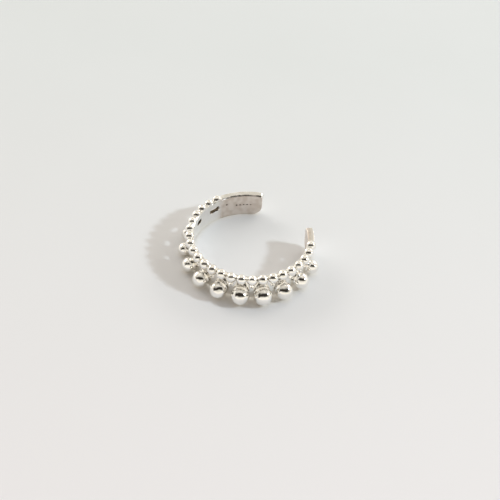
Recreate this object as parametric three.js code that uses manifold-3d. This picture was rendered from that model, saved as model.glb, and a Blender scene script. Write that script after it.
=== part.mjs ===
// An open silver ear cuff lying on its side, in millimetres, +Z up, with its opening towards +Y.
// It is one piece of metal: a slotted band between two plain end plates, a row of small beads along
// the band's upper edge and a row of graduated beads standing out from its lower edge.
import * as THREE from 'three';
import { mergeVertices } from 'three/addons/utils/BufferGeometryUtils.js';
import Module from 'manifold-3d';

// Band and end plates
const boreRadius = 5.3;
const gapWidth = 5.6; // straight across the opening, from tip to tip at the bore
const longPlateLength = 3.84; // along the bore
const shortPlateLength = 1.75; // along the bore
const plateWall = 0.6;
const bandWall = 0.35;
const height = 2.42;
const upperCornerRadius = 0.22;
const lowerCornerRadius = 1.05;

// Small beads, centred on the band's outer face
const smallBeadRadius = 0.49;
const smallBeadBite = 0.005; // how far each small bead runs into its neighbours
const smallRowDrop = 0.2; // from the band's upper edge down to the bead centres

// Large beads, one under every second small bead
const largestBeadRadius = 0.88;
const largeRowHeight = 0.56; // from the band's lower edge up to the bead centres
const largeRowStandOff = 0.43; // from the band's outer face out to the bead centres
const seatShare = 0.76; // radius of the seat behind a large bead, as a share of the bead's radius
const smallBeadsPerLargeBead = 2;

// Size of the large beads along the run of beads, from the long plate to the short one
// along: share of the run, size: share of the largest radius
const graduation = [
  { along: 0.1, size: 0.58 },
  { along: 0.27, size: 0.71 },
  { along: 0.44, size: 0.9 },
  { along: 0.6, size: 0.99 },
  { along: 0.69, size: 1.0 },
  { along: 0.77, size: 0.94 },
  { along: 0.85, size: 0.865 },
  { along: 0.94, size: 0.745 },
];

// Slots cut through the band, under the small beads and between the large ones
const slotHeight = 0.45;
const slotClearance = 0.01; // from a slot up to the small beads' lowest points
const slotCrowding = 0.88; // share of the large beads' radii that a slot keeps clear of
const shortestSlot = 0.3;
const longestSlot = 1.05;

// Plain round punches in the long plate's inner face
const punchCount = 5;
const punchRadius = 0.08;
const punchDepth = 0.09;
const punchSpacing = 0.34;
const punchHeight = 1.25; // above the plate's lower edge
const punchSetback = 1.05; // from the plate's tip to the first punch

// Facets
const facetAngle = 5;
const smallBeadSides = 10;
const largeBeadSides = 12;
const beadRingShare = 0.7; // rings of a bead from pole to pole, as a share of its sides
const slotEndSteps = 5;
const cornerSteps = 6;
const punchSides = 8;
const seatSides = 10;
const cutMargin = 0.4; // how far a cutting tool runs past what it cuts

const degrees = THREE.MathUtils.degToRad;
const outerRadius = boreRadius + plateWall;
const bandRadius = boreRadius + bandWall;
const arcDegrees = (length) => THREE.MathUtils.radToDeg(length / boreRadius);

// Angles about +Z, going round from the long plate's tip to the short plate's tip
const tipHalfAngle = THREE.MathUtils.radToDeg(Math.asin(gapWidth / 2 / boreRadius));
const longTip = 90 + tipHalfAngle;
const shortTip = 450 - tipHalfAngle;
const runStart = longTip + arcDegrees(longPlateLength);
const runEnd = shortTip - arcDegrees(shortPlateLength);
const runAngle = runEnd - runStart;

const wasm = await Module();
wasm.setup();

// A closed geometry as a solid that can be joined and cut
function solidOf(geometry) {
  const bare = geometry.clone();
  bare.deleteAttribute('normal');
  bare.deleteAttribute('uv');
  const merged = mergeVertices(bare);
  return new wasm.Manifold(
    new wasm.Mesh({
      numProp: 3,
      vertProperties: new Float32Array(merged.attributes.position.array),
      triVerts: new Uint32Array(merged.index.array),
    }),
  );
}

function geometryOf(solid) {
  const mesh = solid.getMesh();
  const geometry = new THREE.BufferGeometry();
  geometry.setAttribute('position', new THREE.BufferAttribute(mesh.vertProperties, 3));
  geometry.setIndex(new THREE.BufferAttribute(mesh.triVerts, 1));
  return geometry;
}

function joined(solids) {
  return solids.reduce((whole, solid) => whole.add(solid));
}

function arcPoints(radius, from, to) {
  const steps = Math.ceil(Math.abs(to - from) / facetAngle);
  const points = [];
  for (let i = 0; i <= steps; i += 1) {
    const angle = degrees(from + ((to - from) * i) / steps);
    points.push(new THREE.Vector2(radius * Math.cos(angle), radius * Math.sin(angle)));
  }
  return points;
}

function upright(points, bottom, top) {
  const geometry = new THREE.ExtrudeGeometry(new THREE.Shape(points), {
    depth: top - bottom,
    bevelEnabled: false,
  });
  return geometry.translate(0, 0, bottom);
}

// Sets a shape against the ring: its x runs round the ring as the angle grows, y up and depth outwards
function againstWall(geometry, angle, radius, z) {
  const turn = degrees(angle);
  const along = new THREE.Vector3(-Math.sin(turn), Math.cos(turn), 0);
  const out = new THREE.Vector3(Math.cos(turn), Math.sin(turn), 0);
  const up = new THREE.Vector3(0, 0, 1);
  const placed = new THREE.Matrix4().makeBasis(along, up, out);
  placed.setPosition(out.clone().multiplyScalar(radius).setZ(z));
  return geometry.applyMatrix4(placed);
}

// Band and plates, drawn in plan and raised to the full height
function bareRing() {
  const outline = [
    ...arcPoints(outerRadius, longTip, runStart),
    ...arcPoints(bandRadius, runStart, runEnd),
    ...arcPoints(outerRadius, runEnd, shortTip),
    ...arcPoints(boreRadius, shortTip, longTip),
  ];
  return solidOf(upright(outline, 0, height));
}

// What a rounded corner takes off a plate's tip: the corner outside a quarter circle
function cornerCutter(radius, towardsPlate, up) {
  const shape = new THREE.Shape();
  const x = (value) => value * towardsPlate;
  const y = (value) => value * up;
  shape.moveTo(x(-cutMargin), y(-cutMargin));
  shape.lineTo(x(radius), y(-cutMargin));
  for (let i = 0; i <= cornerSteps; i += 1) {
    const angle = (Math.PI / 2) * (i / cornerSteps);
    shape.lineTo(x(radius - radius * Math.sin(angle)), y(radius - radius * Math.cos(angle)));
  }
  shape.lineTo(x(-cutMargin), y(radius));
  return new THREE.ExtrudeGeometry(shape, {
    depth: plateWall + 2 * cutMargin,
    bevelEnabled: false,
  });
}

function tipCorners() {
  const from = boreRadius - cutMargin;
  const cutters = [];
  for (const [tip, towardsPlate] of [[longTip, 1], [shortTip, -1]]) {
    const lower = cornerCutter(lowerCornerRadius, towardsPlate, 1);
    const upper = cornerCutter(upperCornerRadius, towardsPlate, -1);
    cutters.push(solidOf(againstWall(lower, tip, from, 0)));
    cutters.push(solidOf(againstWall(upper, tip, from, height)));
  }
  return joined(cutters);
}

// Small beads
const pitchWanted = 2 * Math.asin((smallBeadRadius - smallBeadBite) / bandRadius);
const smallBeadCount = Math.round(degrees(runAngle) / pitchWanted);
const pitch = runAngle / smallBeadCount;
const smallRowHeight = height - smallRowDrop;
const beadAngle = (index) => runStart + pitch * (index + 0.5);

function bead(radius, sides, angle, rowRadius, z) {
  const rings = Math.round(sides * beadRingShare);
  const geometry = new THREE.SphereGeometry(radius, sides, rings);
  geometry.rotateX(Math.PI / 2).rotateZ(degrees(angle));
  geometry.translate(rowRadius * Math.cos(degrees(angle)), rowRadius * Math.sin(degrees(angle)), z);
  return solidOf(geometry);
}

function smallBeads() {
  const beads = [];
  for (let i = 0; i < smallBeadCount; i += 1) {
    beads.push(bead(smallBeadRadius, smallBeadSides, beadAngle(i), bandRadius, smallRowHeight));
  }
  return joined(beads);
}

// Large beads
function graduatedSize(along) {
  const last = graduation.length - 1;
  if (along <= graduation[0].along) return graduation[0].size;
  if (along >= graduation[last].along) return graduation[last].size;
  const next = graduation.findIndex((row) => row.along > along);
  const before = graduation[next - 1];
  const after = graduation[next];
  const share = (along - before.along) / (after.along - before.along);
  return before.size + (after.size - before.size) * share;
}

const largeRowRadius = bandRadius + largeRowStandOff;
const largeRow = [];
for (let i = smallBeadsPerLargeBead; i < smallBeadCount - 1; i += smallBeadsPerLargeBead) {
  const angle = beadAngle(i);
  const radius = largestBeadRadius * graduatedSize((angle - runStart) / runAngle);
  largeRow.push({ angle, radius });
}

// A large bead on the short round seat that joins it to the band
function largeBeads() {
  const seatInset = bandWall / 2;
  const pieces = [];
  for (const { angle, radius } of largeRow) {
    const depth = seatInset + largeRowStandOff;
    const seat = new THREE.CylinderGeometry(radius * seatShare, radius * seatShare, depth, seatSides);
    seat.rotateX(Math.PI / 2).translate(0, 0, depth / 2);
    pieces.push(solidOf(againstWall(seat, angle, bandRadius - seatInset, largeRowHeight)));
    pieces.push(bead(radius, largeBeadSides, angle, largeRowRadius, largeRowHeight));
  }
  return joined(pieces);
}

// What the beads leave free for the bore
function bore() {
  const outline = arcPoints(boreRadius, longTip, shortTip);
  return solidOf(upright(outline, -2 * largestBeadRadius, height + 2 * smallBeadRadius));
}

// Slots, each in the free stretch between two neighbours in the large row or at its ends
function slotCutter(length) {
  const shape = new THREE.Shape();
  const end = slotHeight / 2;
  const straight = Math.max(length / 2 - end, 0);
  shape.absarc(straight, 0, end, -Math.PI / 2, Math.PI / 2);
  shape.absarc(-straight, 0, end, Math.PI / 2, (3 * Math.PI) / 2);
  return new THREE.ExtrudeGeometry(shape, {
    depth: bandWall + 2 * cutMargin,
    bevelEnabled: false,
    curveSegments: slotEndSteps,
  });
}

function slots() {
  const reach = (radius) => THREE.MathUtils.radToDeg((radius * slotCrowding) / bandRadius);
  const edges = [
    { from: runStart, to: runStart },
    ...largeRow.map(({ angle, radius }) => ({ from: angle - reach(radius), to: angle + reach(radius) })),
    { from: runEnd, to: runEnd },
  ];
  const middleHeight = smallRowHeight - smallBeadRadius - slotClearance - slotHeight / 2;
  const cutters = [];
  for (let i = 1; i < edges.length; i += 1) {
    const middle = (edges[i - 1].to + edges[i].from) / 2;
    const free = degrees(edges[i].from - edges[i - 1].to) * bandRadius;
    const length = THREE.MathUtils.clamp(free - slotHeight / 2, shortestSlot, longestSlot);
    cutters.push(solidOf(againstWall(slotCutter(length), middle, boreRadius - cutMargin, middleHeight)));
  }
  return joined(cutters);
}

function punches() {
  const cutters = [];
  for (let i = 0; i < punchCount; i += 1) {
    const angle = longTip + arcDegrees(punchSetback + i * punchSpacing);
    const depth = cutMargin + punchDepth;
    const punch = new THREE.CylinderGeometry(punchRadius, punchRadius, depth, punchSides);
    punch.rotateX(Math.PI / 2).translate(0, 0, depth / 2);
    cutters.push(solidOf(againstWall(punch, angle, boreRadius - cutMargin, punchHeight)));
  }
  return joined(cutters);
}

// How the cuff lies: on the three low points whose triangle lies under its centre of mass
function centreOfMass(geometry) {
  const position = geometry.attributes.position;
  const corner = (i) => new THREE.Vector3().fromBufferAttribute(position, geometry.index.getX(i));
  const centre = new THREE.Vector3();
  let volume = 0;
  for (let i = 0; i < geometry.index.count; i += 3) {
    const [a, b, c] = [corner(i), corner(i + 1), corner(i + 2)];
    const part = a.dot(b.clone().cross(c)) / 6;
    volume += part;
    centre.addScaledVector(a.add(b).add(c), part / 4);
  }
  return centre.divideScalar(volume);
}

function lowPoints() {
  const at = (angle, radius, z) =>
    new THREE.Vector3(radius * Math.cos(degrees(angle)), radius * Math.sin(degrees(angle)), z);
  const points = largeRow.map(({ angle, radius }) => at(angle, largeRowRadius, largeRowHeight - radius));
  const cornerAngle = arcDegrees(lowerCornerRadius);
  for (const angle of [longTip + cornerAngle, runStart, runEnd, shortTip - cornerAngle]) {
    points.push(at(angle, outerRadius, 0));
  }
  return points;
}

function restingTurn(points, balance) {
  const touching = 1e-6;
  const turn = new THREE.Quaternion();
  for (let i = 0; i < points.length; i += 1) {
    for (let j = i + 1; j < points.length; j += 1) {
      for (let k = j + 1; k < points.length; k += 1) {
        const floor = new THREE.Plane().setFromCoplanarPoints(points[i], points[j], points[k]);
        if (floor.normal.z < 0) floor.negate();
        const foot = floor.projectPoint(balance, new THREE.Vector3());
        const triangle = new THREE.Triangle(points[i], points[j], points[k]);
        const above = points.every((point) => floor.distanceToPoint(point) > -touching);
        if (above && triangle.containsPoint(foot)) {
          turn.setFromUnitVectors(floor.normal, new THREE.Vector3(0, 0, 1));
        }
      }
    }
  }
  return turn;
}

const ring = bareRing().subtract(tipCorners()).subtract(slots()).subtract(punches());
const ornament = smallBeads().add(largeBeads()).subtract(bore());
const geometry = geometryOf(ring.add(ornament));

// Laid down, with the middle of its footprint at the origin
geometry.applyQuaternion(restingTurn(lowPoints(), centreOfMass(geometry)));
geometry.computeBoundingBox();
const middle = geometry.boundingBox.getCenter(new THREE.Vector3());
geometry.translate(-middle.x, -middle.y, -geometry.boundingBox.min.z);
geometry.computeVertexNormals();

const silver = new THREE.MeshStandardMaterial({ color: 0xd6d2c8, roughness: 0.22, metalness: 1 });
const cuff = new THREE.Mesh(geometry, silver);
cuff.name = 'ear_cuff';

const model = new THREE.Group();
model.add(cuff);

export default model;
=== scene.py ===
import math

import bmesh
import bpy
import numpy as np
from mathutils import Matrix, Quaternion, Vector


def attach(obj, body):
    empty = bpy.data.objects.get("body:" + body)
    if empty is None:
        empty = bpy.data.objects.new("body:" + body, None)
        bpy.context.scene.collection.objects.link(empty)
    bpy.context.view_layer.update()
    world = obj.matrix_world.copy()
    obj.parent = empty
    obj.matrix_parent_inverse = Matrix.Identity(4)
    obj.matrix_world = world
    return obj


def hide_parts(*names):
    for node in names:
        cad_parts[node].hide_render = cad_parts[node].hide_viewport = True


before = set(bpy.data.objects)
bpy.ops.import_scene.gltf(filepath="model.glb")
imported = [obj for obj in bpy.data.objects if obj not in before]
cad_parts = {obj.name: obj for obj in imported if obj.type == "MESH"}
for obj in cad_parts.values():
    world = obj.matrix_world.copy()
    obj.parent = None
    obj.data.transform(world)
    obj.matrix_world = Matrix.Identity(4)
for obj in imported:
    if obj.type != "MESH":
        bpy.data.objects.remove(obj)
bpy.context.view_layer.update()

MM = 0.001

# Band and end plates, with the opening between them centred on one angle
OPENING_ANGLE = 90
BORE_RADIUS = 5.3
GAP_WIDTH = 5.6
LONG_PLATE = 3.84
SHORT_PLATE = 1.75
PLATE_WALL = 0.6
BAND_WALL = 0.35
HEIGHT = 2.42
UPPER_CORNER = 0.22
LOWER_CORNER = 1.05
EDGE_SOFTNESS = 0.05
# The wall and the height of a section each have room for this many soft edges
EDGE_ROOM = 2.2
# A small bevel along the inner top edge: how far it reaches over the top and down the inner face, how
# many times that the wall and the height have to be, and the angles over which it shrinks to a share
BEVEL_OVER = 0.15
BEVEL_DOWN = 0.1
BEVEL_OVER_ROOM = 2
BEVEL_DOWN_ROOM = 4
BEVEL_FADE = (200, 230)
LEAST_BEVEL = 0.3

# Small beads, whose centres lie a little below the band's top edge
SMALL_RADIUS = 0.49
SMALL_COUNT = 24
SMALL_SET_DOWN = 0.2
SMALL_HEIGHT = HEIGHT - SMALL_SET_DOWN

# Large beads, one under every second small bead from the third on
FIRST_LARGE = 2
LARGE_STEP = 2
LARGEST_RADIUS = 0.88
LARGE_HEIGHT = 0.56
LARGE_STAND_OFF = 0.43
SEAT_SHARE = 0.72
SEAT_FLARE = 0.08
# How the large beads are graduated: share of the run of beads, share of the largest radius
GRADUATION = (
    (0.1, 0.58),
    (0.27, 0.71),
    (0.44, 0.9),
    (0.6, 0.99),
    (0.69, 1.0),
    (0.77, 0.94),
    (0.85, 0.865),
    (0.94, 0.745),
)

# Slots through the band
SLOT_HEIGHT = 0.45
SLOT_CLEARANCE = 0.01
SLOT_CROWDING = 0.88
SHORTEST_SLOT = 0.3
LONGEST_SLOT = 1.05
SLOT_FLARE = 0.05

# Plain round punches in the long plate's inner face
PUNCH_COUNT = 5
PUNCH_RADIUS = 0.08
PUNCH_DEPTH = 0.09
PUNCH_SPACING = 0.34
PUNCH_HEIGHT = 1.25
PUNCH_SETBACK = 1.05

# Casting pits in the inner face: angle, height, radius
PITS = ((158.9, 1.56, 0.11), (175.8, 1.29, 0.12))
PIT_DEPTH_SHARE = 0.6

# How the cuff lies: the turn of the ring and where its centre goes
RESTING_TURN = Quaternion((0.9999053, -0.0072286, -0.0117144, 0.0))
RING_PLACE = Vector((-0.12815, 0.90359, 0.16238))

# Facets
ARC_STEP = 1.2
CLOSEST_SECTIONS = 0.02
ANGLE_DIGITS = 4
CORNER_STEPS = 14
EDGE_STEPS = 7
SLOT_END_STEPS = 10
SMALL_SEGMENTS = (36, 24)
LARGE_SEGMENTS = (56, 36)
PIT_SEGMENTS = (20, 14)
SEAT_SIDES = 40
PUNCH_SIDES = 20
SHARP_ANGLE = 38

# Cutters: how far they reach past the metal, and the cylinder that cuts the beads back to the bore
CUT_MARGIN = 0.4
BORE_CLEARANCE = 0.04
BORE_SIDES = 300
BORE_CUTTER_DEPTH = 8

# How near to a surface a point counts as lying on it, and how far a face has to agree with it
SURFACE_REACH = 0.003
LEAST_AGREEMENT = 0.5

# Where the finish changes: how far the satin fades into the run of beads, and where the painted shade
# and tarnish in the hollows end
SATIN_FADE = 6.0
HOLLOW_SHADE_END = 205
# Points' angles are counted on from a little before the long plate's tip
TIP_SLACK = 1

OUTER_RADIUS = BORE_RADIUS + PLATE_WALL
BAND_RADIUS = BORE_RADIUS + BAND_WALL


def arc_degrees(length):
    return math.degrees(length / BORE_RADIUS)


TIP_HALF_ANGLE = math.degrees(math.asin(GAP_WIDTH / 2 / BORE_RADIUS))
LONG_TIP = OPENING_ANGLE + TIP_HALF_ANGLE
SHORT_TIP = OPENING_ANGLE + 360 - TIP_HALF_ANGLE
RUN_START = LONG_TIP + arc_degrees(LONG_PLATE)
RUN_END = SHORT_TIP - arc_degrees(SHORT_PLATE)
PITCH = (RUN_END - RUN_START) / SMALL_COUNT


def bead_angle(index):
    return RUN_START + PITCH * (index + 0.5)


def polar(angle, radius, z):
    turn = math.radians(angle)
    return Vector((radius * math.cos(turn), radius * math.sin(turn), z))


def against_wall(angle, radius, z):
    """Axes set against the ring: x round it, y up and z outwards."""
    turn = math.radians(angle)
    along = Vector((-math.sin(turn), math.cos(turn), 0))
    out = Vector((math.cos(turn), math.sin(turn), 0))
    axes = Matrix((along, Vector((0, 0, 1)), out)).transposed().to_4x4()
    axes.translation = polar(angle, radius, z)
    return axes


def solid(name, bm):
    """An object from a closed body, with its faces outwards wherever it was turned to."""
    bm.normal_update()
    bmesh.ops.recalc_face_normals(bm, faces=bm.faces)
    if bm.calc_volume(signed=True) < 0:
        bmesh.ops.reverse_faces(bm, faces=bm.faces)
    mesh = bpy.data.meshes.new(name)
    bm.to_mesh(mesh)
    bm.free()
    piece = bpy.data.objects.new(name, mesh)
    bpy.context.scene.collection.objects.link(piece)
    return piece


def lofted(name, loops):
    """A closed body through loops of points of equal number, capped at both ends."""
    bm = bmesh.new()
    rows = [[bm.verts.new(point) for point in loop] for loop in loops]
    count = len(rows[0])
    for low, high in zip(rows, rows[1:]):
        for i in range(count):
            j = (i + 1) % count
            bm.faces.new((low[i], low[j], high[j], high[i]))
    bm.faces.new(rows[0])
    bm.faces.new(reversed(rows[-1]))
    bmesh.ops.triangulate(bm, faces=[face for face in bm.faces if len(face.verts) > 4])
    return solid(name, bm)


def combined(whole, part, how):
    """Joins part to whole or cuts it away, and removes part."""
    step = whole.modifiers.new("step", "BOOLEAN")
    step.operation = how
    step.solver = "MANIFOLD"
    step.object = part
    bpy.context.view_layer.update()
    ready = whole.evaluated_get(bpy.context.evaluated_depsgraph_get())
    mesh = bpy.data.meshes.new_from_object(ready)
    old = whole.data
    whole.modifiers.clear()
    whole.data = mesh
    bpy.data.meshes.remove(old)
    bpy.data.objects.remove(part)


def rounding(distance, radius):
    """How far a quarter circle stands back at this distance from its end."""
    gap = max(radius - distance, 0)
    return radius - math.sqrt(max(radius * radius - gap * gap, 0))


def section(angle):
    """The ring's cross section at an angle, with soft edges."""
    from_long = math.radians(angle - LONG_TIP) * BORE_RADIUS
    from_short = math.radians(SHORT_TIP - angle) * BORE_RADIUS
    tip = min(from_long, from_short)
    low = rounding(tip, LOWER_CORNER)
    high = HEIGHT - rounding(tip, UPPER_CORNER)
    inset = rounding(tip, EDGE_SOFTNESS)
    into_run = min(math.radians(angle - RUN_START), math.radians(RUN_END - angle)) * BORE_RADIUS
    step = min(max(into_run / EDGE_SOFTNESS + 1, 0), 1)
    drop = (PLATE_WALL - BAND_WALL) * (1 - math.sqrt(max(1 - step * step, 0)))
    inner = BORE_RADIUS + inset
    outer = OUTER_RADIUS - drop - inset
    wall = outer - inner
    tall = high - low
    soft = min(EDGE_SOFTNESS, wall / EDGE_ROOM, tall / EDGE_ROOM)
    bevel = min(
        1,
        (wall - soft) / (BEVEL_OVER_ROOM * BEVEL_OVER),
        tall / (BEVEL_DOWN_ROOM * BEVEL_DOWN),
    )
    bevel *= np.interp(angle, BEVEL_FADE, (1, LEAST_BEVEL))
    over = BEVEL_OVER * bevel
    down = BEVEL_DOWN * bevel
    lean = math.atan2(down, over)
    points = []

    def bend(radius, z, size, start, turn):
        for i in range(EDGE_STEPS):
            way = start + turn * i / (EDGE_STEPS - 1)
            points.append(polar(angle, radius + size * math.cos(way), z + size * math.sin(way)))

    quarter = math.pi / 2
    bend(outer - soft, low + soft, soft, -quarter, quarter)
    bend(outer - soft, high - soft, soft, 0, quarter)
    easing = soft / 2
    above = easing * math.tan(lean / 2)
    below = easing * math.tan((quarter - lean) / 2)
    bend(inner + over + above, high - easing, easing, quarter, lean)
    bend(inner + easing, high - down - below, easing, quarter + lean, quarter - lean)
    bend(inner + soft, low + soft, soft, 2 * quarter, quarter)
    return points


def ring():
    """Band and plates as one sweep, with closer sections at the tips and shoulders."""
    angles = set()
    steps = math.ceil((SHORT_TIP - LONG_TIP) / ARC_STEP)
    for i in range(steps + 1):
        angles.add(round(LONG_TIP + (SHORT_TIP - LONG_TIP) * i / steps, ANGLE_DIGITS))
    for radius in (LOWER_CORNER, UPPER_CORNER, EDGE_SOFTNESS):
        for i in range(CORNER_STEPS + 1):
            away = arc_degrees(radius * (1 - math.cos(math.pi / 2 * i / CORNER_STEPS)))
            angles.add(round(LONG_TIP + away, ANGLE_DIGITS))
            angles.add(round(SHORT_TIP - away, ANGLE_DIGITS))
    for i in range(EDGE_STEPS + 1):
        away = arc_degrees(EDGE_SOFTNESS * math.cos(math.pi / 2 * i / EDGE_STEPS))
        angles.add(round(RUN_START - away, ANGLE_DIGITS))
        angles.add(round(RUN_END + away, ANGLE_DIGITS))
    spaced = []
    for angle in sorted(angles):
        if not spaced or angle - spaced[-1] > CLOSEST_SECTIONS:
            spaced.append(angle)
    return lofted("ear_cuff_silver", [section(angle) for angle in spaced])


def bead(radius, segments, angle, row_radius, z):
    bm = bmesh.new()
    bmesh.ops.create_uvsphere(bm, u_segments=segments[0], v_segments=segments[1], radius=radius)
    bm.transform(Matrix.Rotation(math.radians(angle), 4, "Z"))
    bm.transform(Matrix.Translation(polar(angle, row_radius, z)))
    return solid("bead", bm)


def rod(radius, depth, sides, place, far_radius=None):
    bm = bmesh.new()
    bmesh.ops.create_cone(
        bm,
        cap_ends=True,
        segments=sides,
        radius1=radius,
        radius2=radius if far_radius is None else far_radius,
        depth=depth,
    )
    bm.transform(Matrix.Translation((0, 0, depth / 2)))
    bm.transform(place)
    return solid("rod", bm)


def graduated(along):
    if along <= GRADUATION[0][0]:
        return GRADUATION[0][1]
    for (from_along, from_size), (to_along, to_size) in zip(GRADUATION, GRADUATION[1:]):
        if along < to_along:
            share = (along - from_along) / (to_along - from_along)
            return from_size + (to_size - from_size) * share
    return GRADUATION[-1][1]


LARGE_ROW = []
for index in range(FIRST_LARGE, SMALL_COUNT - 1, LARGE_STEP):
    share = (bead_angle(index) - RUN_START) / (RUN_END - RUN_START)
    LARGE_ROW.append((bead_angle(index), LARGEST_RADIUS * graduated(share)))


def ornament():
    """Both rows of beads with the seats of the large ones, cut back to the bore."""
    whole = None
    for index in range(SMALL_COUNT):
        part = bead(SMALL_RADIUS, SMALL_SEGMENTS, bead_angle(index), BAND_RADIUS, SMALL_HEIGHT)
        if whole is None:
            whole = part
        else:
            combined(whole, part, "UNION")
    inset = BAND_WALL / 2
    for angle, radius in LARGE_ROW:
        place = against_wall(angle, BAND_RADIUS - inset, LARGE_HEIGHT)
        wide = radius * (SEAT_SHARE + SEAT_FLARE)
        seat = rod(wide, inset + LARGE_STAND_OFF, SEAT_SIDES, place, radius * SEAT_SHARE)
        combined(whole, seat, "UNION")
        row = BAND_RADIUS + LARGE_STAND_OFF
        combined(whole, bead(radius, LARGE_SEGMENTS, angle, row, LARGE_HEIGHT), "UNION")
    centred = Matrix.Translation((0, 0, -BORE_CUTTER_DEPTH / 2))
    bore = rod(BORE_RADIUS + BORE_CLEARANCE, BORE_CUTTER_DEPTH, BORE_SIDES, centred)
    combined(whole, bore, "DIFFERENCE")
    return whole


def stadium(length, growth, depth):
    """The outline of a round-ended slot, grown on all sides, at a depth."""
    end = SLOT_HEIGHT / 2 + growth
    straight = max(length / 2 - SLOT_HEIGHT / 2, 0)
    points = []
    for side, start in ((1, -90), (-1, 90)):
        for i in range(SLOT_END_STEPS + 1):
            turn = math.radians(start + 180 * i / SLOT_END_STEPS)
            points.append((side * straight + end * math.cos(turn), end * math.sin(turn), depth))
    return points


def slot_cutter(angle, length, z):
    """A long round-ended slot whose mouths flare a little at both faces of the band."""
    place = against_wall(angle, BORE_RADIUS, z)
    far = SLOT_FLARE + CUT_MARGIN
    depths = (
        (far, -CUT_MARGIN),
        (0, SLOT_FLARE),
        (0, BAND_WALL - SLOT_FLARE),
        (far, BAND_WALL + CUT_MARGIN),
    )
    loops = [[place @ Vector(p) for p in stadium(length, growth, depth)] for growth, depth in depths]
    return lofted("slot", loops)


def slot_places():
    """Angle and length of the slot between each large bead and the next."""
    edges = [(RUN_START, RUN_START)]
    for angle, radius in LARGE_ROW:
        reach = math.degrees(radius * SLOT_CROWDING / BAND_RADIUS)
        edges.append((angle - reach, angle + reach))
    edges.append((RUN_END, RUN_END))
    for before, after in zip(edges, edges[1:]):
        free = math.radians(after[0] - before[1]) * BAND_RADIUS
        length = min(max(free - SLOT_HEIGHT / 2, SHORTEST_SLOT), LONGEST_SLOT)
        yield (before[1] + after[0]) / 2, length


def ball_places():
    """Centre and radius of every bead."""
    for index in range(SMALL_COUNT):
        yield polar(bead_angle(index), BAND_RADIUS, SMALL_HEIGHT), SMALL_RADIUS
    for angle, radius in LARGE_ROW:
        yield polar(angle, BAND_RADIUS + LARGE_STAND_OFF, LARGE_HEIGHT), radius


def true_normals(mesh):
    """Gives faces that lie on a bead or on a wall of the ring the exact direction of that surface."""
    turn = np.array(RESTING_TURN.normalized().to_matrix())
    points = np.empty(len(mesh.vertices) * 3)
    mesh.vertices.foreach_get("co", points)
    points = (points.reshape(-1, 3) / MM - np.array(RING_PLACE)) @ turn
    corners = np.empty(len(mesh.loops), dtype=int)
    mesh.loops.foreach_get("vertex_index", corners)
    starts = np.empty(len(mesh.polygons), dtype=int)
    mesh.polygons.foreach_get("loop_start", starts)
    normals = np.array([corner.vector for corner in mesh.corner_normals]) @ turn
    face_of = np.repeat(np.arange(len(starts)), np.diff(np.append(starts, len(corners))))

    facing = np.empty(len(starts) * 3)
    mesh.polygons.foreach_get("normal", facing)
    facing = (facing.reshape(-1, 3) @ turn)[face_of]

    def aim(near, directions):
        """Sets the corners of faces that lie wholly on a surface, wherever the face agrees."""
        directions = directions[corners]
        on = np.logical_and.reduceat(near[corners], starts)[face_of]
        on &= np.einsum("ij,ij->i", directions, facing) > LEAST_AGREEMENT
        normals[on] = directions[on]

    for centre, radius in ball_places():
        away = points - np.array(centre)
        far = np.linalg.norm(away, axis=1)
        aim(np.abs(far - radius) < SURFACE_REACH, away / far[:, None])
    flat = points * np.array((1, 1, 0))
    out = np.linalg.norm(flat, axis=1)
    for radius, side in ((BORE_RADIUS, -1), (BAND_RADIUS, 1), (OUTER_RADIUS, 1)):
        aim(np.abs(out - radius) < SURFACE_REACH, side * flat / out[:, None])
    mesh.normals_split_custom_set((normals @ turn.T).tolist())
    return points, out


def mark_finish(mesh, points, out):
    """Marks the satin inner faces of the plates, the hollows that are darkened with painted shade and
    tarnish, and the ring's smooth walls.
    """
    angles = np.degrees(np.arctan2(points[:, 1], points[:, 0])) % 360
    angles[angles < LONG_TIP - TIP_SLACK] += 360
    into_run = np.minimum(angles - RUN_START, RUN_END - angles)
    inside = np.abs(out - BORE_RADIUS) < PUNCH_DEPTH + SURFACE_REACH
    satin = np.where(inside, np.clip(1 - into_run / SATIN_FADE, 0, 1), 0)
    mesh.attributes.new("satin", "FLOAT", "POINT").data.foreach_set("value", satin)
    # Hollows to darken with painted shade and some tarnish: walls inside the band's thickness, above
    # the floor's edge and below the small beads, up to the end angle
    sunk = (out > BORE_RADIUS + SURFACE_REACH) & (out < BAND_RADIUS - SURFACE_REACH)
    between = (points[:, 2] > 2 * EDGE_SOFTNESS) & (points[:, 2] < SMALL_HEIGHT - SMALL_RADIUS)
    darkened_span = (angles > LONG_TIP + arc_degrees(LOWER_CORNER)) & (angles < HOLLOW_SHADE_END)
    hollow_shade_and_tarnish = np.where(sunk & between & darkened_span, 1.0, 0.0)
    mesh.attributes.new("hollow_shade_and_tarnish", "FLOAT", "POINT").data.foreach_set("value", hollow_shade_and_tarnish)
    wall = np.zeros(len(out))
    for radius in (BORE_RADIUS, BAND_RADIUS, OUTER_RADIUS):
        wall[np.abs(out - radius) < SURFACE_REACH] = 1.0
    mesh.attributes.new("wall", "FLOAT", "POINT").data.foreach_set("value", wall)


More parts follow.
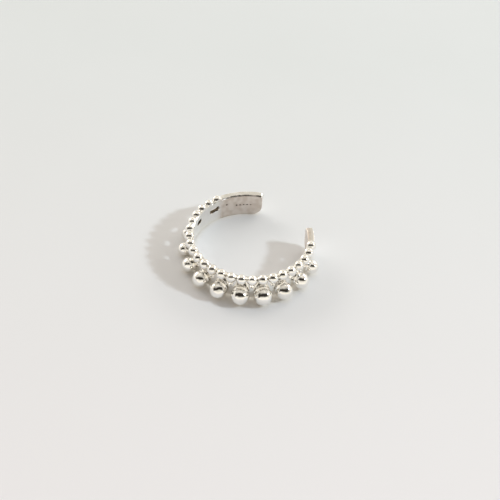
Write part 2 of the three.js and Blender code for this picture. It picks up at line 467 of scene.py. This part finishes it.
def build_cuff():
    cuff = ring()
    slot_z = SMALL_HEIGHT - SMALL_RADIUS - SLOT_CLEARANCE - SLOT_HEIGHT / 2
    for angle, length in slot_places():
        combined(cuff, slot_cutter(angle, length, slot_z), "DIFFERENCE")
    for i in range(PUNCH_COUNT):
        angle = LONG_TIP + arc_degrees(PUNCH_SETBACK + i * PUNCH_SPACING)
        place = against_wall(angle, BORE_RADIUS - CUT_MARGIN, PUNCH_HEIGHT)
        punch = rod(PUNCH_RADIUS, CUT_MARGIN + PUNCH_DEPTH, PUNCH_SIDES, place)
        combined(cuff, punch, "DIFFERENCE")
    for angle, z, radius in PITS:
        row = BORE_RADIUS - radius * (1 - PIT_DEPTH_SHARE)
        combined(cuff, bead(radius, PIT_SEGMENTS, angle, row, z), "DIFFERENCE")
    combined(cuff, ornament(), "UNION")
    mesh = cuff.data
    turn = RESTING_TURN.normalized().to_matrix().to_4x4()
    mesh.transform(Matrix.Scale(MM, 4) @ Matrix.Translation(RING_PLACE) @ turn)
    mesh.shade_smooth()
    mesh.set_sharp_from_angle(angle=math.radians(SHARP_ANGLE))
    mesh.update()
    points, out = true_normals(mesh)
    mark_finish(mesh, points, out)
    return cuff


# Where a mix node keeps its factor, its two colours and their mixture
COLOUR_MIX_INPUTS = (0, 6, 7)
COLOUR_MIX_OUTPUT = 2


class Nodes:
    """Short words for building a node tree."""

    def __init__(self, tree):
        self.tree = tree
        tree.nodes.clear()

    def feed(self, socket, value):
        if isinstance(value, bpy.types.NodeSocket):
            self.tree.links.new(value, socket)
        else:
            socket.default_value = value

    def add(self, kind, _links=None, **values):
        node = self.tree.nodes.new(kind)
        for name, value in values.items():
            setattr(node, name, value)
        for name, value in (_links or {}).items():
            self.feed(node.inputs[name], value)
        return node

    def noise(self, place, scale, detail):
        links = {"Vector": place, "Scale": scale, "Detail": detail}
        return self.add("ShaderNodeTexNoise", links).outputs["Fac"]

    def attribute(self, name):
        return self.add("ShaderNodeAttribute", attribute_name=name).outputs["Fac"]

    def openness(self, reach):
        """1 in the open, less where other surfaces are within reach."""
        links = {"Distance": reach * MM}
        node = self.add("ShaderNodeAmbientOcclusion", links, samples=OPENNESS_SAMPLES)
        return node.outputs["AO"]

    def part_along(self, vector, direction):
        """How far a vector reaches in a direction."""
        links = {0: vector, 1: direction}
        return self.add("ShaderNodeVectorMath", links, operation="DOT_PRODUCT").outputs["Value"]

    def ranged(self, value, low, high, to_low, to_high):
        links = {"Value": value, "From Min": low, "From Max": high, "To Min": to_low, "To Max": to_high}
        return self.add("ShaderNodeMapRange", links, clamp=True).outputs["Result"]

    def mixed(self, factor, first, second):
        node = self.add("ShaderNodeMix", data_type="RGBA")
        for index, value in zip(COLOUR_MIX_INPUTS, (factor, first, second)):
            self.feed(node.inputs[index], value)
        return node.outputs[COLOUR_MIX_OUTPUT]

    def math(self, operation, first, second=0.0):
        node = self.add("ShaderNodeMath", operation=operation)
        self.feed(node.inputs[0], first)
        self.feed(node.inputs[1], second)
        return node.outputs[0]

    def bump(self, height, strength, depth):
        links = {"Height": height, "Strength": strength, "Distance": depth * MM}
        return self.add("ShaderNodeBump", links).outputs["Normal"]

    def surface(self, links):
        shader = self.add("ShaderNodeBsdfPrincipled", links)
        self.add("ShaderNodeOutputMaterial", {"Surface": shader.outputs["BSDF"]})


# Noises: scale per metre, detail
SILVER_WIDE_NOISE = (900.0, 1.0)
SILVER_FINE_NOISE = (6500.0, 4.0)
SILVER_LUMP_NOISE = (2000.0, 0.0)
FLOOR_BROAD_NOISE = (60.0, 3.0)
FLOOR_GRAIN_NOISE = (2600.0, 5.0)
# The part of a noise's range that is spread from none to all
NOISE_SPREAD = (0.3, 0.7)
NOISE_MIDDLE = 0.5
LUMP_SPREAD = (0.35, 0.65)
OPENNESS_SAMPLES = 8

# Silver: colours in pairs that a noise wanders between, then roughness and relief
CLEAN_SILVER = ((0.90, 0.875, 0.83, 1), (0.95, 0.935, 0.91, 1))
PATINA = ((0.67, 0.585, 0.515, 1), (0.775, 0.7, 0.64, 1))
HOLLOW_SHADE_AND_TARNISH_COLOUR = (0.11, 0.085, 0.06, 1)
CREVICE_COLOUR = (0.91, 0.88, 0.83, 1)
CREVICE_REACH = 0.3
CREVICE_OPENNESS = (0.1, 0.55)
POLISH = (0.07, 0.14)
SATIN_ROUGHNESS = 0.24
FINE_RELIEF = 0.03
LUMP_RELIEF = 0.7
WALL_RELIEF = 0.2
RELIEF_DEPTH = 0.07

# Floor: its colours, the painted light that makes it lighter towards the front and how far that fades
# in on either side of the middle, and the painted shade where the cuff is close
CLEAN_FLOOR = ((0.765, 0.782, 0.792, 1), (0.78, 0.797, 0.81, 1))
FRONT_LIGHT_COLOUR = (0.85, 0.825, 0.852, 1)
FRONT_LIGHT_REACH = 30
CONTACT_SHADE_COLOUR = (0.84, 0.8, 0.735, 1)
CONTACT_REACH = 1.0
CONTACT_OPENNESS = (0.2, 0.75)
FLOOR_ROUGHNESS = 0.75
GRAIN_STRENGTH = 0.1
GRAIN_DEPTH = 0.02
FLOOR_SIZE_METRES = 3.0


def silver_material():
    material = bpy.data.materials.new("silver")
    material.use_nodes = True
    n = Nodes(material.node_tree)
    place = n.add("ShaderNodeTexCoord").outputs["Object"]
    wide = n.noise(place, *SILVER_WIDE_NOISE)
    fine = n.noise(place, *SILVER_FINE_NOISE)
    lumps = n.noise(place, *SILVER_LUMP_NOISE)
    clean = n.mixed(n.ranged(wide, *NOISE_SPREAD, 0.0, 1.0), *CLEAN_SILVER)
    crevice = n.ranged(n.openness(CREVICE_REACH), *CREVICE_OPENNESS, 1.0, 0.0)
    colour = n.mixed(crevice, clean, CREVICE_COLOUR)
    satin = n.attribute("satin")
    patina = n.mixed(n.ranged(lumps, *LUMP_SPREAD, 0.0, 1.0), *PATINA)
    colour = n.mixed(satin, colour, patina)
    # Painted shade, with some tarnish: the walls of the slots, pits and punches go near black
    colour = n.mixed(n.attribute("hollow_shade_and_tarnish"), colour, HOLLOW_SHADE_AND_TARNISH_COLOUR)
    polish = n.ranged(fine, *NOISE_SPREAD, *POLISH)
    rough = n.math("ADD", polish, n.math("MULTIPLY", satin, SATIN_ROUGHNESS))
    relief = n.math("ADD", wide, n.math("MULTIPLY", fine, FINE_RELIEF))
    relief = n.math("ADD", relief, n.math("MULTIPLY", lumps, LUMP_RELIEF))
    strength = n.ranged(n.attribute("wall"), 0.0, 1.0, 1.0, WALL_RELIEF)
    normal = n.bump(relief, strength, RELIEF_DEPTH)
    n.surface({"Base Color": colour, "Roughness": rough, "Metallic": 1.0, "Normal": normal})
    return material


def floor_material():
    material = bpy.data.materials.new("pale_floor")
    material.use_nodes = True
    n = Nodes(material.node_tree)
    place = n.add("ShaderNodeTexCoord").outputs["Object"]
    broad = n.noise(place, *FLOOR_BROAD_NOISE)
    grain = n.noise(place, *FLOOR_GRAIN_NOISE)
    clean = n.mixed(n.ranged(broad, *NOISE_SPREAD, 0.0, 1.0), *CLEAN_FLOOR)
    # Painted light: the floor turns lighter and warmer towards the front
    nearer = n.part_along(place, polar(VIEW_RIGHT - 90, 1, 0))
    front = n.ranged(nearer, -FRONT_LIGHT_REACH * MM, FRONT_LIGHT_REACH * MM, 0.0, 1.0)
    colour = n.mixed(front, clean, FRONT_LIGHT_COLOUR)
    # Painted shade: the floor turns darker and warmer where the cuff is close
    contact_shade = n.ranged(n.openness(CONTACT_REACH), *CONTACT_OPENNESS, 1.0, 0.0)
    colour = n.mixed(contact_shade, colour, CONTACT_SHADE_COLOUR)
    normal = n.bump(grain, GRAIN_STRENGTH, GRAIN_DEPTH)
    n.surface({"Base Color": colour, "Roughness": FLOOR_ROUGHNESS, "Normal": normal})
    return material


def build_floor():
    bm = bmesh.new()
    bmesh.ops.create_grid(bm, x_segments=2, y_segments=2, size=FLOOR_SIZE_METRES)
    floor = solid("floor", bm)
    floor.data.materials.append(floor_material())


# The photograph's view: the ring's angle that points to the right of the picture, the elevation above
# the ring's plane, the camera's roll, its distance, the width it takes in, and where it aims: to the
# right and up from a point on the ring's axis
VIEW_RIGHT = 41.0
VIEW_ELEVATION = 44.972
VIEW_ROLL = 4.333
VIEW_DISTANCE = 133.84
VIEW_WIDTH = 46.84
VIEW_AIM = Vector((0.086, 0.473))
VIEW_ORIGIN_Z = -0.248
SENSOR_WIDTH = 36
NEAR_CLIP_METRES = 0.005
FAR_CLIP_METRES = 20


def turned(vector):
    return RESTING_TURN.normalized() @ vector


def view_axes():
    """Right, up and towards-the-camera directions in the model's frame."""
    roll = math.radians(VIEW_ROLL)
    rise = math.radians(VIEW_ELEVATION)
    right = polar(VIEW_RIGHT, 1, 0)
    away = polar(VIEW_RIGHT + 90, 1, 0)
    axis = Vector((0, 0, 1))
    over = away * math.sin(rise) + axis * math.cos(rise)
    back = axis * math.sin(rise) - away * math.cos(rise)
    return (
        turned(right * math.cos(roll) + over * math.sin(roll)),
        turned(over * math.cos(roll) - right * math.sin(roll)),
        turned(back),
    )


def build_camera():
    right, over, back = view_axes()
    origin = RING_PLACE + turned(Vector((0, 0, VIEW_ORIGIN_Z)))
    place = origin + back * VIEW_DISTANCE + right * VIEW_AIM.x + over * VIEW_AIM.y
    data = bpy.data.cameras.new("camera")
    data.sensor_width = SENSOR_WIDTH
    data.lens = SENSOR_WIDTH * VIEW_DISTANCE / VIEW_WIDTH
    data.clip_start = NEAR_CLIP_METRES
    data.clip_end = FAR_CLIP_METRES
    camera = bpy.data.objects.new("camera", data)
    facing = Matrix((right, over, back)).transposed().to_4x4()
    camera.matrix_world = Matrix.Translation(place * MM) @ facing
    bpy.context.scene.collection.objects.link(camera)
    bpy.context.scene.camera = camera


# Lights: name, angle round the ring, elevation, watts, width, colour, distance and height. Widths,
# distances and heights are in metres, and a light without a height is round
LIGHTS = (
    ("key", VIEW_RIGHT - 4, 35.8, 1.45, 0.06, (0.88, 1.0, 1.08), 0.6, None),
    ("back_left", VIEW_RIGHT + 140, 30, 1.26, 0.42, (1.0, 0.97, 0.92), 0.8, 0.24),
    ("back_right", VIEW_RIGHT + 48, 30, 0.83, 0.36, (1.0, 0.97, 0.92), 0.8, 0.22),
)


def build_light(name, angle, elevation, watts, size, colour, distance, tall):
    rise = math.radians(elevation)
    towards = polar(angle, math.cos(rise), math.sin(rise))
    data = bpy.data.lights.new(name, "AREA")
    data.shape = "DISK" if tall is None else "RECTANGLE"
    data.size = size
    if tall is not None:
        data.size_y = tall
    data.energy = watts
    data.color = colour
    light = bpy.data.objects.new(name, data)
    light.location = towards * distance
    light.rotation_mode = "QUATERNION"
    light.rotation_quaternion = towards.to_track_quat("Z", "Y")
    bpy.context.scene.collection.objects.link(light)


# The room that the silver mirrors: bright all round, with an uneven dark arch on the camera's side
# whose lower edge is sharp and whose upper side fades in a haze. Its sizes are parts of a unit sphere
LOW_SKY_COLOUR = (1.1, 1.055, 0.965, 1)
MIDDLE_SKY_COLOUR = (0.71, 0.673, 0.592, 1)
TOP_SKY_COLOUR = (1.38, 1.32, 1.2, 1)
MIDDLE_SKY_HEIGHT = (0.25, 0.6)
TOP_SKY_HEIGHT = (0.78, 0.95)
PATCH_COLOUR = (0.035, 0.03, 0.025, 1)
PATCH_ELEVATION = 61
PATCH_THICKNESS = (0.23, 0.33)
PATCH_LENGTH = (0.75, 1.0)
PATCH_UNEVENNESS = 0.55
PATCH_NOISE = (4.0, 2.0)
PATCH_SIDE = (0.0, 0.3)
HAZE_HEIGHT = (0.2, 0.85)
HAZE_LENGTH = (0.3, 0.75)
HAZE_DEPTH = 0.9
HAZE_START = (0.0, 0.1)


def build_world():
    world = bpy.data.worlds.new("studio")
    bpy.context.scene.world = world
    world.use_nodes = True
    n = Nodes(world.node_tree)
    way = n.add("ShaderNodeTexCoord").outputs["Generated"]
    right = view_axes()[0]
    rise = math.radians(PATCH_ELEVATION)
    middle = polar(VIEW_RIGHT - 90, math.cos(rise), math.sin(rise))
    across = right.cross(middle).normalized()
    noise = n.noise(way, *PATCH_NOISE)
    uneven = n.math("MULTIPLY", n.math("SUBTRACT", noise, NOISE_MIDDLE), PATCH_UNEVENNESS)
    below = n.math("ADD", n.part_along(way, across), uneven)
    aside = n.math("ABSOLUTE", n.part_along(way, right))
    arch = n.math(
        "MULTIPLY",
        n.ranged(n.math("ABSOLUTE", below), *PATCH_THICKNESS, 1.0, 0.0),
        n.ranged(aside, *PATCH_LENGTH, 1.0, 0.0),
    )
    haze = n.math(
        "MULTIPLY",
        n.ranged(n.math("MULTIPLY", below, -1.0), *HAZE_HEIGHT, HAZE_DEPTH, 0.0),
        n.ranged(aside, *HAZE_LENGTH, 1.0, 0.0),
    )
    haze = n.math("MULTIPLY", haze, n.ranged(below, *HAZE_START, 1.0, 0.0))
    patch = n.math("MAXIMUM", arch, haze)
    this_side = n.ranged(n.part_along(way, middle), *PATCH_SIDE, 0.0, 1.0)
    patch = n.math("MULTIPLY", patch, this_side)
    height = n.add("ShaderNodeSeparateXYZ", {"Vector": way}).outputs["Z"]
    middle_share = n.ranged(height, *MIDDLE_SKY_HEIGHT, 0.0, 1.0)
    top_share = n.ranged(height, *TOP_SKY_HEIGHT, 0.0, 1.0)
    sky = n.mixed(middle_share, LOW_SKY_COLOUR, MIDDLE_SKY_COLOUR)
    sky = n.mixed(top_share, sky, TOP_SKY_COLOUR)
    colour = n.mixed(patch, sky, PATCH_COLOUR)
    shader = n.add("ShaderNodeBackground", {"Color": colour, "Strength": 1.0})
    n.add("ShaderNodeOutputWorld", {"Surface": shader.outputs["Background"]})


cuff = build_cuff()
cuff.data.materials.clear()
cuff.data.materials.append(silver_material())
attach(cuff, "root")
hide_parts("ear_cuff")

build_floor()
build_camera()
for light in LIGHTS:
    build_light(*light)
build_world()
bpy.context.scene.view_settings.view_transform = "Standard"
